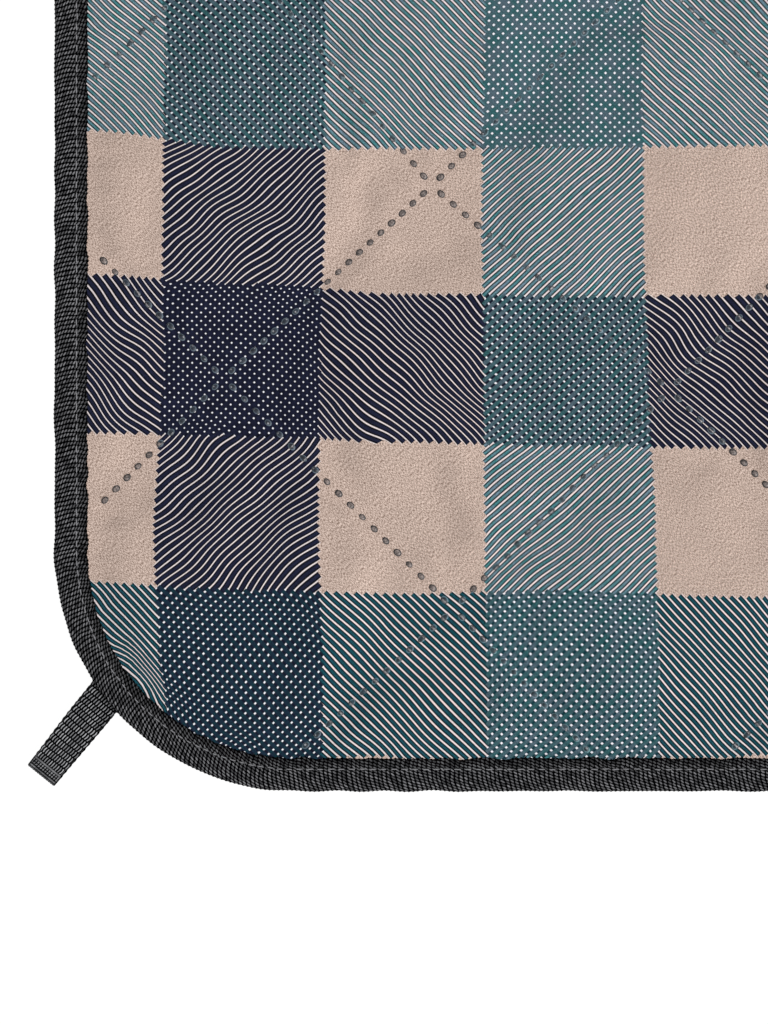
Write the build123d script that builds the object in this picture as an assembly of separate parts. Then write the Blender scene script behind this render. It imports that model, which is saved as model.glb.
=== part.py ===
"""Quilted camp blanket, lying flat and face up, with bound edges and a webbing loop at each corner.

Frame: +X across the blanket, +Y along it from the foot end to the head end, +Z up.
The origin is on the ground under the blanket's centre. Millimetres.

The blanket is three layers, a printed cover, a wadding and a plain back cover, welded together at
spots along diagonal lines. A tape folded over the edge binds them, with a line of lockstitch along it.
A short tail of each corner loop is caught under the binding by that stitch.

The blanket folds in half across its middle, so every layer is made as a foot half and a head half,
with a small gap on the fold. Each corner loop flips up and over the edge.
"""
from build123d import *
import os
from math import cos, radians, sin, sqrt

# ---------------------------------------------------------------- driving dimensions
WIDTH = 1270.0              # 50 inches, along X
LENGTH = 1780.0             # 70 inches, along Y
CORNER_RADIUS = 78.0

LOFT = 7.0                  # height of the quilted middle
COVER = 0.3                 # cover fabric
EDGE_WADDING = 1.0          # wadding squeezed inside the binding
EDGE_SLOPE_START = 12.0     # distance in from the edge where the loft starts to rise
EDGE_SLOPE_END = 24.0       # and where it is full

TAPE = 0.8                  # thickness of the binding tape
TAPE_LEG = 11.0             # what shows of the folded tape on each face
TAPE_ROUND = 1.2            # roundness of the tape's fold

THREAD_WIDTH = 0.5
THREAD_HEIGHT = 0.3
SEAM_INSET = 7.4            # stitch line, in from the outer edge

WEBBING_WIDTH = 12.0
WEBBING = 0.9
LOOP_REACH = 32.5           # from the binding's edge to the end of the loop
LOOP_INSIDE_HEIGHT = 4.8    # clear height inside the loop
LOOP_RISE = 9.0             # length over which the upper ply rises
LOOP_ROOT_ANGLE = 217.5     # where a loop leaves the corner's arc, for the foot end's -X corner
LOOP_DIRECTION = 231.2      # which way it points
LOOP_TAIL = 9.0             # length caught under the binding
LOOP_TAIL_OUT = 1.8         # how far the tail reaches past the edge, which it crosses at a slant
LOOP_ROOT_GAP = 0.4         # gap between the tail and the part that swings

FOLD_GAP = 0.5              # between the two halves

WELD_RADIUS = 1.0
WELD_PITCH = 99.0           # between weld lines, both ways on the diagonals
WELD_CROSSING_X = 126.0     # one crossing of two weld lines, in from the -X edge
WELD_CROSSING_Y = 201.6     # and in from the foot end
WELD_EDGE_CLEARANCE = 30.0

# ---------------------------------------------------------------- derived sizes
MID = LOFT / 2
EDGE_STACK = EDGE_WADDING + 2 * COVER
BINDING_BOTTOM = MID - EDGE_STACK / 2 - TAPE
BINDING_HEIGHT = EDGE_STACK + 2 * TAPE
BINDING_TOP = BINDING_BOTTOM + BINDING_HEIGHT


def outline(inset):
    """The blanket's plan shape, drawn in by inset all round."""
    corner = CORNER_RADIUS - inset
    return RectangleRounded(WIDTH - 2 * inset, LENGTH - 2 * inset, corner)


def plate(inset, bottom, top):
    """A flat slab of the blanket's plan shape."""
    return extrude(Pos(0, 0, bottom) * outline(inset), top - bottom)


def upper_quilt(skin):
    """The quilt above its middle plane, with its top face lowered by skin."""
    edge_top = MID + EDGE_STACK / 2 - skin
    slope_foot = Pos(0, 0, edge_top) * outline(EDGE_SLOPE_START)
    slope_head = Pos(0, 0, LOFT - skin) * outline(EDGE_SLOPE_END)
    crown = loft([slope_foot, slope_head], ruled=True)
    return plate(TAPE, MID, edge_top) + crown


def upside_down(shape):
    """The same shape mirrored through the quilt's middle plane."""
    return mirror(shape, about=Plane.XY.offset(MID))


def top_cover():
    return upper_quilt(0.0) - upper_quilt(COVER)


def wadding():
    half = upper_quilt(COVER)
    return half + upside_down(half)


def edge_binding():
    """Tape folded over the edge: a ring with a slot in its inner side for the layers."""
    ring = plate(0.0, BINDING_BOTTOM, BINDING_TOP)
    outer_edges = ring.edges().filter_by(lambda e: abs(e.center().Z - MID) > MID - BINDING_BOTTOM - 0.01)
    ring = fillet(outer_edges, TAPE_ROUND)
    ring -= plate(TAPE_LEG, BINDING_BOTTOM, BINDING_TOP)
    return ring - plate(TAPE, BINDING_BOTTOM + TAPE, BINDING_TOP - TAPE)


def seam_thread(bottom):
    """One side of the lockstitch, as a fine band that follows the edge."""
    outer = plate(SEAM_INSET - THREAD_WIDTH / 2, bottom, bottom + THREAD_HEIGHT)
    return outer - plate(SEAM_INSET + THREAD_WIDTH / 2, bottom, bottom + THREAD_HEIGHT)


def weld_studs():
    """Fused studs where the weld lines cross, through all three layers."""
    step = WELD_PITCH / sqrt(2)
    reach = int(max(WIDTH, LENGTH) / step) + 2
    limit_x = WIDTH / 2 - WELD_EDGE_CLEARANCE
    limit_y = LENGTH / 2 - WELD_EDGE_CLEARANCE
    studs = []
    for row in range(-reach, reach + 1):
        for column in range(-reach, reach + 1):
            if (row + column) % 2:
                continue
            x = WELD_CROSSING_X - WIDTH / 2 + column * step
            y = WELD_CROSSING_Y - LENGTH / 2 + row * step
            if abs(x) < limit_x and abs(y) < limit_y:
                studs.append(Pos(x, y, 0) * extrude(Circle(WELD_RADIUS), LOFT))
    return studs


def halves(shape):
    """Cuts a layer on the fold into its foot half and its head half."""
    depth = LENGTH
    foot_space = Pos(0, -FOLD_GAP / 2 - depth / 2, MID) * Box(2 * WIDTH, depth, 4 * LOFT)
    head_space = Pos(0, FOLD_GAP / 2 + depth / 2, MID) * Box(2 * WIDTH, depth, 4 * LOFT)
    return shape & foot_space, shape & head_space


# ---------------------------------------------------------------- corner loops
def loop_profile():
    """Side view of the webbing beyond the edge: flat lower ply, round end, upper ply that falls to the root."""
    inside = LOOP_INSIDE_HEIGHT / 2
    end_radius = inside + WEBBING
    centre = (LOOP_REACH - end_radius, WEBBING + inside)
    top = centre[1] + end_radius
    root = LOOP_TAIL_OUT + LOOP_ROOT_GAP
    rise_end = root + LOOP_RISE
    with BuildSketch(Plane.XZ) as side:
        with BuildLine():
            lower = Line((root, 0), (centre[0], 0))
            end = CenterArc(centre, end_radius, -90, 180)
            upper = Line(end @ 1, (rise_end, top))
            Spline(upper @ 1, (root, 2 * WEBBING), tangents=[(-1, 0), (-1, -0.15)])
            Line((root, 2 * WEBBING), lower @ 0)
        make_face()
        with BuildLine():
            inner_lower = Line((root + 1.5, WEBBING), (centre[0], WEBBING))
            inner_end = CenterArc(centre, inside, -90, 180)
            inner_upper = Line(inner_end @ 1, (rise_end + 0.5, top - WEBBING))
            Spline(inner_upper @ 1, inner_lower @ 0, tangents=[(-1, 0), (-1, -0.25)])
        make_face(mode=Mode.SUBTRACT)
    return side.sketch


def root_point():
    """Where the loop's centreline crosses the outer edge, at the foot end's -X corner."""
    angle = radians(LOOP_ROOT_ANGLE)
    x = -WIDTH / 2 + CORNER_RADIUS + CORNER_RADIUS * cos(angle)
    y = -LENGTH / 2 + CORNER_RADIUS + CORNER_RADIUS * sin(angle)
    return x, y


def placed_at_corner(shape, x_sign, y_sign):
    """Moves a loop shape, drawn with +X outwards from the edge, to one corner of the blanket."""
    x, y = root_point()
    placed = Pos(x, y, BINDING_BOTTOM - 2 * WEBBING) * Rot(0, 0, LOOP_DIRECTION) * shape
    if x_sign > 0:
        placed = mirror(placed, about=Plane.YZ)
    if y_sign > 0:
        placed = mirror(placed, about=Plane.XZ)
    return placed


def corner_loop():
    return extrude(loop_profile(), WEBBING_WIDTH / 2, both=True)


def loop_tail():
    """The two plies of webbing under the binding."""
    length = LOOP_TAIL + LOOP_TAIL_OUT
    return Pos(LOOP_TAIL_OUT - length / 2, 0, WEBBING) * Box(length, WEBBING_WIDTH, 2 * WEBBING)


# ---------------------------------------------------------------- build and write
def one_solid(shape):
    """Unwraps a result that holds a single solid."""
    solids = shape.solids()
    return solids[0] if len(solids) == 1 else Compound(children=list(solids))


def main():
    parts = {}

    cover = top_cover()
    layers = {
        "top_cover": cover,
        "wadding": wadding(),
        "back_cover": upside_down(cover),
        "edge_binding": edge_binding(),
        "seam_needle_thread": seam_thread(BINDING_TOP),
        "seam_bobbin_thread": seam_thread(BINDING_BOTTOM - THREAD_HEIGHT),
    }
    for name, layer in layers.items():
        parts[name + "_foot"], parts[name + "_head"] = halves(layer)

    studs = weld_studs()
    parts["quilting_welds_foot"] = Compound(children=[s for s in studs if s.center().Y < 0])
    parts["quilting_welds_head"] = Compound(children=[s for s in studs if s.center().Y > 0])

    corners = {"foot_left": (-1, -1), "foot_right": (1, -1), "head_left": (-1, 1), "head_right": (1, 1)}
    for corner, signs in corners.items():
        tail = placed_at_corner(loop_tail(), *signs)
        parts["corner_loop_" + corner] = placed_at_corner(corner_loop(), *signs)
        parts["loop_tail_" + corner] = tail
        thread = "seam_bobbin_thread_" + corner.split("_")[0]
        parts[thread] = parts[thread] - tail

    os.makedirs("parts", exist_ok=True)
    for name, shape in parts.items():
        export_step(one_solid(shape), "parts/" + name + ".step")


if __name__ == "__main__":
    main()
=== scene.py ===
"""Looks of the quilted camp blanket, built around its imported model.

The covers and the wadding share one diagonal grid of cloth cells. Each diamond of the quilt is one block
of the grid, its sides are weld lines, and every second grid point on a weld line carries a weld spot.
"""
from functools import partialmethod
from math import cos, pi, radians, sin, sqrt

import bpy
import numpy as np
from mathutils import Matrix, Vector


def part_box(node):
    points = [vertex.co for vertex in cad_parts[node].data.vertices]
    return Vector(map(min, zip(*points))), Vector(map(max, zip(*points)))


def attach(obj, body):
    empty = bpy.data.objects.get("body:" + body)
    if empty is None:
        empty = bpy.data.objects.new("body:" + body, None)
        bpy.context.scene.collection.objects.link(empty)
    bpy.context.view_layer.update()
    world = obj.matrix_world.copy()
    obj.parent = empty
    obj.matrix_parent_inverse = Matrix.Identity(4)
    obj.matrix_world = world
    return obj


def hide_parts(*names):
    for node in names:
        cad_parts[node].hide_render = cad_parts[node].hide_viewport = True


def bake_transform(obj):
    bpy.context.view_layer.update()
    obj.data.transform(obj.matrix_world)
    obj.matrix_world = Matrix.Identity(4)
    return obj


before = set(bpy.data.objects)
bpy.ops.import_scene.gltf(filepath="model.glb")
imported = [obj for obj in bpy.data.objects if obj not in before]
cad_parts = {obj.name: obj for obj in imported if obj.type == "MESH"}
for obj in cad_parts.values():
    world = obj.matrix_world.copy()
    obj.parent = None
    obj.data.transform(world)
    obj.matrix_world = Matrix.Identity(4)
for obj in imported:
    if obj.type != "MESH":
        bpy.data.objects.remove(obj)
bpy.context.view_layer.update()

MM = 0.001
VIEW_HEIGHT = 330.3 * MM        # what the camera sees, and the middle of its view:
VIEW_X = 106.5 * MM             # in from the left edge
VIEW_Y = 90.3 * MM              # and in from the foot end

# ---------------------------------------------------------------- sizes, in metres
BINDING_LOW, BINDING_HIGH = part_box("edge_binding_foot")
HALF_WIDTH = BINDING_HIGH[0]
HALF_LENGTH = -BINDING_LOW[1]
MID_HEIGHT = (BINDING_LOW[2] + BINDING_HIGH[2]) / 2
CORNER_RADIUS = 78 * MM

QUILT = 99 * MM                 # side of a diamond, between weld lines
CROSSING_X = 126 * MM           # one crossing of two weld lines, in from the left edge
CROSSING_Y = 201.6 * MM         # and in from the foot end
CELLS = 38                      # cloth cells along a diamond's side
FIRST_SPOT = 3.95 * MM          # from a crossing to the first weld spot
SPOT_PITCH = (QUILT - 2 * FIRST_SPOT) / (CELLS / 2 - 1)
SPOT_LENGTH = 2.75 * MM
SPOT_WIDTH = 2.0 * MM
# a spot's rings from its rim inwards: share of its size, and height
TOP_SPOT_RINGS = [(1.06, -0.25 * MM), (0.88, 0.14 * MM), (0.66, 0.08 * MM), (0.4, 0.0)]
BACK_SPOT_RINGS = [(1.1, -0.2 * MM), (0.6, 0.12 * MM)]

WELD_TOP = 3.4 * MM             # height of the top cover at a weld line
WELD_BACK = 2.95 * MM           # height of the back cover there
TOP_SWELL = 4.2 * MM            # most that the top cover may stand above a weld line
BACK_SWELL = 2.9 * MM
FLOOR_GAP = 0.06 * MM           # under the back's lowest places
SPOT_RIPPLE = 0.35 * MM         # rise of the cloth between two weld spots
EDGE_TOP = 4.2 * MM             # heights of the covers where the binding grips them
EDGE_BACK = 2.8 * MM
SLOPE_START = 11 * MM           # inset where the covers leave the binding's grip
SLOPE = 14 * MM                 # and how far they take to reach a weld line's height
WADDING_GAP = 0.25 * MM         # between the wadding and each cover
WADDING_LEAST = 0.04 * MM       # half of the wadding's least thickness
SPOT_CLEARANCE = 13 * MM        # inset where the first weld spots may lie
WELD_FREE = 9 * MM              # distance from a weld line where the edge's roll is full
COVER_HIDDEN = 6 * MM           # inset of the covers' cut edge, inside the binding
SWELL_START = 9 * MM            # inset where the quilt starts to swell, and where it is full
SWELL_FULL = 27 * MM
EDGE_ROLL = 1.5 * MM            # the quilt's swell just inside the binding
GATHER = 0.16 * MM              # and its small puckers, square to the edge
CORNER_GATHER = 5.5 * MM        # how far the print is gathered at the foot end's left corner

RIB = 1.45 * MM                 # the binding's ribs, along the edge
RIB_HEIGHT = 0.14 * MM
RINGS_PER_RIB = 3
STRAND = 1.05 * MM              # strands in a rib, across the tape
SEAM_INSET = 7.4 * MM
STITCH = 2.3 * MM
STITCH_PITCH = 3.4 * MM
THREAD = 0.42 * MM
SEAM_LEVEL = 1.42 * MM          # of each thread, from the middle height
SIDE_PIECE = 255 * MM           # half length of the binding's two side pieces

WEBBING_WIDTH = 12 * MM
WEBBING = 0.9 * MM
WEBBING_COLUMNS = 12            # columns of dashes in its weave
DASH_COLUMN = WEBBING_WIDTH / WEBBING_COLUMNS
DASH_BAND = 2.3 * MM            # each band of dashes is half a column off the next
LOOP_NARROWER = 0.1             # how much narrower the pulled loop is at its end
LOOP_REACH = 32.5 * MM
LOOP_INSIDE = 4.8 * MM
LOOP_RISE = 9 * MM
LOOP_ROOT = 2.2 * MM
LOOP_ROOT_ANGLE = radians(217.5)
LOOP_DIRECTION = radians(231.2)
LOOP_TAIL = 9 * MM
LOOP_BOTTOM = 0.1 * MM

CHECK_X = 52 * MM               # the print's squares
CHECK_Y = 49 * MM
PRINT_X = 34.5 * MM             # first borders, from the left edge and the foot end
PRINT_Y = 13 * MM
STRIPE_X = 2.95 * MM            # the stripes' spacing along X and along Y
STRIPE_Y = 2.78 * MM
STRIPE_PITCH = 1 / sqrt(STRIPE_X ** -2 + STRIPE_Y ** -2)
STRIPE_HALF = 0.37              # half of a stripe's width as a share of the pitch
STRIPE_WIDER = 0.035            # and how much wider the navy ones are
CROSSING_NARROWER = 0.035       # and how much narrower all are where two bands cross
STRIPE_WANDER = 1.4             # how far the stripes wander, in pitches
NAVY_WANDER = 2.8               # and how much further the navy ones do

FOLD_BEND = 9 * MM              # half length of the cloth that turns at the fold
FOLD_APART = 1.5 * MM           # least distance of the covers from the middle height there
FOLD_GAP = 0.8 * MM             # and of the wadding from the covers
TOP_COLUMNS, TOP_ROWS = 3, 4
BACK_COLUMNS, BACK_ROWS = 2, 3
WADDING_COLUMNS, WADDING_ROWS = 3, 5

random = np.random.default_rng(99)


# ---------------------------------------------------------------- camera, light and floor
def linked(name, data):
    """A new object in the scene."""
    made = bpy.data.objects.new(name, data)
    bpy.context.collection.objects.link(made)
    return made


def camera():
    """Looks straight down on the foot end's left corner."""
    data = bpy.data.cameras.new("camera")
    data.lens = 135
    data.sensor_width = 36
    distance = VIEW_HEIGHT * data.lens / data.sensor_width
    made = linked("camera", data)
    made.location = (-HALF_WIDTH + VIEW_X, -HALF_LENGTH + VIEW_Y, distance + MID_HEIGHT)
    bpy.context.scene.camera = made


def studio():
    """A glowing white floor, a white surround and one soft low lamp."""
    size = 6.0
    floor_mesh = bpy.data.meshes.new("floor")
    corners = [(-size, -size, 0), (size, -size, 0), (size, size, 0), (-size, size, 0)]
    floor_mesh.from_pydata(corners, [], [(0, 1, 2, 3)])
    floor = linked("floor", floor_mesh)
    floor.location.z = -0.3 * MM
    paper = Shader("floor_paper")
    paper.set("Base Color", srgb(90, 90, 90))
    paper.set("Roughness", 0.9)
    paper.set("Emission Color", (1, 1, 1, 1))
    paper.set("Emission Strength", 0.96)
    floor_mesh.materials.append(paper.material)

    world = bpy.data.worlds.new("surround")
    world.use_nodes = True
    world.node_tree.nodes["Background"].inputs["Color"].default_value = (1, 1, 1, 1)
    world.node_tree.nodes["Background"].inputs["Strength"].default_value = 0.53
    bpy.context.scene.world = world

    lamp = bpy.data.lights.new("lamp", "SUN")
    lamp.energy = 2.12
    lamp.angle = radians(20)
    made = linked("lamp", lamp)
    made.rotation_euler = Vector((0.75, -0.45, 0.75)).to_track_quat("Z", "Y").to_euler()
    bpy.context.scene.view_settings.view_transform = "Standard"


# ---------------------------------------------------------------- materials
def srgb(red, green, blue):
    """A colour as it looks, 0 to 255, as the shader's linear colour."""
    def linear(value):
        value = value / 255
        return value / 12.92 if value <= 0.04045 else ((value + 0.055) / 1.055) ** 2.4
    return (linear(red), linear(green), linear(blue), 1.0)


class Shader:
    """A Principled material, with short calls that add its nodes."""

    def __init__(self, name):
        self.material = bpy.data.materials.new(name)
        self.material.use_nodes = True
        self.tree = self.material.node_tree
        self.surface = self.tree.nodes["Principled BSDF"]

    def feed(self, socket, value):
        """Links a node's output to the socket, or sets a plain value."""
        if isinstance(value, bpy.types.NodeSocket):
            self.tree.links.new(value, socket)
        else:
            socket.default_value = value

    def set(self, name, value):
        self.feed(self.surface.inputs[name], value)

    def node(self, kind, *values, **settings):
        made = self.tree.nodes.new("ShaderNode" + kind)
        for key, value in settings.items():
            setattr(made, key, value)
        for socket, value in zip(made.inputs, values):
            self.feed(socket, value)
        return made

    def math(self, operation, *values):
        return self.node("Math", *values, operation=operation).outputs[0]

    add = partialmethod(math, "ADD")
    sub = partialmethod(math, "SUBTRACT")
    mul = partialmethod(math, "MULTIPLY")
    div = partialmethod(math, "DIVIDE")
    mul_add = partialmethod(math, "MULTIPLY_ADD")
    mod = partialmethod(math, "FLOORED_MODULO")
    fract = partialmethod(math, "FRACT")
    floor = partialmethod(math, "FLOOR")
    abs = partialmethod(math, "ABSOLUTE")
    max = partialmethod(math, "MAXIMUM")
    above = partialmethod(math, "GREATER_THAN")
    below = partialmethod(math, "LESS_THAN")

    def centred(self, value):
        """The value's fraction less a half."""
        return self.sub(self.fract(value), 0.5)

    def cell_chance(self, row, column):
        """A random number for each whole row and column."""
        cell = self.vector(self.floor(row), self.floor(column))
        return self.node("TexWhiteNoise", cell, noise_dimensions="2D").outputs["Value"]

    def finish(self, colour, roughness, specular=0.5):
        """Sets the surface's main sockets and returns the material."""
        self.set("Base Color", colour)
        self.set("Roughness", roughness)
        self.set("Specular IOR Level", specular)
        return self.material

    def mix(self, share, first, second, blend="MIX"):
        made = self.node("Mix", data_type="RGBA", blend_type=blend)
        self.feed(made.inputs[0], share)
        self.feed(made.inputs[6], first)
        self.feed(made.inputs[7], second)
        return made.outputs[2]

    def attribute(self, name):
        """The three numbers of a mesh attribute."""
        source = self.node("Attribute", attribute_name=name)
        parts = self.node("SeparateXYZ", source.outputs["Vector"])
        return parts.outputs[0], parts.outputs[1], parts.outputs[2]

    def vector(self, x, y, z=0.0):
        return self.node("CombineXYZ", x, y, z).outputs[0]

    def noise(self, vector, size, detail=2.0):
        """Smooth noise about 0.5, with features of that size in metres."""
        made = self.node("TexNoise", noise_dimensions="2D")
        self.feed(made.inputs["Vector"], vector)
        made.inputs["Scale"].default_value = 1 / size
        made.inputs["Detail"].default_value = detail
        return made.outputs["Fac"]

    def ramp(self, value, low, high, out_low=0.0, out_high=1.0, smooth=False):
        kind = "SMOOTHSTEP" if smooth else "LINEAR"
        return self.node("MapRange", value, low, high, out_low, out_high, interpolation_type=kind).outputs[0]

    def shade(self, colour, amount):
        """The colour times a grey amount."""
        return self.mix(1.0, colour, self.vector(amount, amount, amount), "MULTIPLY")

    def bump(self, height, distance, strength=1.0):
        made = self.node("Bump")
        made.inputs["Strength"].default_value = strength
        made.inputs["Distance"].default_value = distance
        self.feed(made.inputs["Height"], height)
        self.set("Normal", made.outputs["Normal"])


def stripe_phase(g, x, y, slant, band_place, crossing_place):
    """How far across its own stripe a point lies, as a share of the pitch, from -0.5 to 0.5.

    band_place counts the squares across the bands. Every third band is navy, which wanders more, and
    crossing_place counts along the bands, which wander less in every second square."""
    along_y = g.mul(y, slant / STRIPE_Y)
    phase = g.mul_add(x, 1 / STRIPE_X, along_y)
    wander = g.noise(g.vector(x, g.add(y, slant * 3.0)), 32 * MM, 1.0)
    third = g.fract(g.div(band_place, 6.0))
    navy = g.below(third, 1 / 3)
    reach = g.mul_add(navy, NAVY_WANDER, STRIPE_WANDER)
    turn = g.mul(crossing_place, pi)
    calm = g.ramp(g.math("SINE", turn), -0.1, 0.4, 1.0, 0.25, smooth=True)
    reach = g.mul(reach, calm)
    phase = g.add(phase, g.mul(g.sub(wander, 0.5), reach))
    return g.centred(phase)


def stripe(g, across, tone, both):
    """Mask of the diagonal stripes, and a shade that is dark along their two edges, but not where
    both bands cross."""
    half = g.ramp(tone, 0.0, 1.0, STRIPE_HALF + STRIPE_WIDER, STRIPE_HALF)
    half = g.mul_add(both, -CROSSING_NARROWER, half)
    depth = g.sub(half, g.abs(across))
    shade = g.ramp(depth, 0.1, 0.27, 0.0, 1.92)
    crossing_shade = g.ramp(depth, 0.1, 0.27, 0.88, 1.03)
    shade = g.mul_add(both, g.sub(crossing_shade, shade), shade)
    return g.ramp(depth, -0.035, 0.035), shade


def bands(g, place, first, size, tone_shift):
    """For bands that take every second square: a mask, and the band's tone 0, 1 or 2."""
    square = g.div(g.sub(place, first), size)
    pair = g.mul(square, 0.5)
    mask = g.below(g.fract(pair), 0.5)
    number = g.floor(pair)
    tone = g.mod(g.mul_add(number, 2.0, tone_shift), 3.0)
    return mask, tone


def ink(g, tone, navy, dark_teal, teal):
    """The ink for a tone: 0 navy, 1 dark teal, 2 teal."""
    darker = g.mix(g.above(tone, 0.5), navy, dark_teal)
    return g.mix(g.above(tone, 1.5), darker, teal)


def print_colour(g):
    """The cover's colour, and the height of its twill: beige, printed with bands of diagonal stripes that
    cross as a check."""
    x, y, _ = g.attribute("flat")
    flat = g.vector(x, y)
    rows_up = g.div(g.sub(y, PRINT_Y), CHECK_Y)
    columns_right = g.div(g.sub(x, PRINT_X), CHECK_X)
    falling = stripe_phase(g, x, y, 1, g.sub(rows_up, 1.5), columns_right)
    rising = stripe_phase(g, x, y, -1, g.add(columns_right, 0.5), rows_up)
    tooth_y = g.mul_add(falling, -STRIPE_PITCH ** 2 / STRIPE_Y, y)
    tooth_x = g.mul_add(rising, -STRIPE_PITCH ** 2 / STRIPE_X, x)
    row_mask, row_tone = bands(g, tooth_y, PRINT_Y, CHECK_Y, 1.0)
    column_mask, column_tone = bands(g, tooth_x, PRINT_X, CHECK_X, 0.0)

    speck = g.noise(flat, 0.36 * MM, 3.0)
    patch = g.noise(flat, 3.5 * MM, 4.0)
    ink_grain = g.ramp(speck, 0.3, 0.7, 0.6, 1.4)
    navy = g.shade(g.mix(patch, srgb(15, 16, 30), srgb(23, 27, 47)), ink_grain)
    dark_teal = g.shade(g.mix(patch, srgb(8, 56, 60), srgb(21, 53, 69)), ink_grain)
    teal = g.shade(g.mix(g.ramp(patch, 0.35, 0.65), srgb(50, 95, 99), srgb(82, 101, 113)), ink_grain)

    twill_place = g.vector(g.add(x, y), g.mul(g.sub(x, y), 0.35))
    twill = g.ramp(g.noise(twill_place, 0.36 * MM, 1.0), 0.3, 0.7)
    grain = g.mul_add(g.ramp(speck, 0.25, 0.75), 0.4, g.mul(twill, 0.6))
    cloth = g.mix(g.ramp(grain, 0.2, 0.8), srgb(140, 117, 104), srgb(234, 211, 198))
    cloth = g.shade(cloth, g.ramp(g.noise(flat, 14 * MM), 0.3, 0.7, 0.97, 1.03))
    bright = g.mix(grain, srgb(214, 202, 203), srgb(247, 236, 235))
    dots = g.mix(grain, srgb(226, 226, 238), srgb(255, 253, 255))
    either = g.max(row_mask, column_mask)
    both = g.mul(row_mask, column_mask)
    ground = g.mix(both, g.mix(either, cloth, bright), dots)

    row_ink = ink(g, row_tone, navy, dark_teal, teal)
    column_ink = ink(g, column_tone, navy, dark_teal, teal)
    row_stripe, row_shade = stripe(g, falling, row_tone, both)
    column_stripe, column_shade = stripe(g, rising, column_tone, both)
    row_print = g.mul(row_stripe, row_mask)
    column_print = g.mul(column_stripe, column_mask)
    row_ink = g.shade(row_ink, row_shade)
    column_ink = g.shade(column_ink, column_shade)
    column_wins = g.above(column_tone, row_tone)
    lighter = g.mix(column_wins, row_ink, column_ink)
    darker = g.mix(column_wins, column_ink, row_ink)
    lightest = g.max(row_tone, column_tone)
    overlap = g.mix(g.ramp(lightest, 1, 2, 0.7, 0.1), lighter, darker)
    overlap = g.shade(overlap, g.ramp(lightest, 1, 2, 1.6, 1.0))
    beside_column = g.mix(row_print, ground, row_ink)
    under_column = g.mix(row_print, column_ink, overlap)
    return g.mix(column_print, beside_column, under_column), twill


def printed_cover():
    """The printed twill."""
    g = Shader("printed_cover")
    colour, twill = print_colour(g)
    g.bump(twill, 0.06 * MM, 0.6)
    return g.finish(colour, g.ramp(twill, 0, 1, 0.72, 0.9), 0.08)


def back_fabric():
    """Plain slate twill."""
    g = Shader("back_fabric")
    x, y, _ = g.attribute("flat")
    place = g.vector(g.add(x, y), g.mul(g.sub(x, y), 0.3))
    twill = g.noise(place, 0.8 * MM, 2.0)
    cloud = g.noise(g.vector(x, y), 40 * MM, 3.0)
    colour = g.mix(g.ramp(twill, 0.25, 0.75), srgb(38, 44, 58), srgb(62, 70, 86))
    g.set("Sheen Weight", 0.1)
    colour = g.shade(colour, g.ramp(cloud, 0.3, 0.7, 0.9, 1.1))
    return g.finish(colour, g.ramp(twill, 0.3, 0.7, 0.7, 0.88), 0.3)


def weld_surface(g, radius, middle, rim):
    """An oval's smooth middle and its rim."""
    colour = g.mix(g.ramp(radius, 0.6, 0.84, smooth=True), middle, rim)
    return g.finish(colour, g.ramp(radius, 0.3, 0.9, 0.35, 0.65))


def printed_weld():
    """Printed cloth fused to a smooth oval, through which the print still shows."""
    g = Shader("printed_weld")
    radius, chance, _ = g.attribute("spot")
    x, y, _ = g.attribute("flat")
    speck = g.noise(g.vector(x, y), 0.7 * MM, 2.0)
    mottle = g.mul(g.ramp(chance, 0, 1, 0.8, 1.15), g.ramp(speck, 0.3, 0.7, 0.4, 1.6))
    below, _ = print_colour(g)
    clear = g.mix(1.0, g.shade(below, 0.34), srgb(30, 39, 48), "ADD")
    pale_rim = g.mix(1.0, g.shade(below, 1.3), srgb(86, 100, 106), "ADD")
    rim = g.mix(g.ramp(below, 0.12, 0.28), pale_rim, srgb(24, 25, 30))
    return weld_surface(g, radius, g.shade(clear, mottle), rim)


def plain_weld():
    """The back's plain cloth, fused to a smooth oval."""
    g = Shader("plain_weld")
    radius, chance, _ = g.attribute("spot")
    middle = g.shade(srgb(60, 68, 84), g.ramp(chance, 0, 1, 0.8, 1.15))
    return weld_surface(g, radius, middle, srgb(18, 20, 28))


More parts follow.
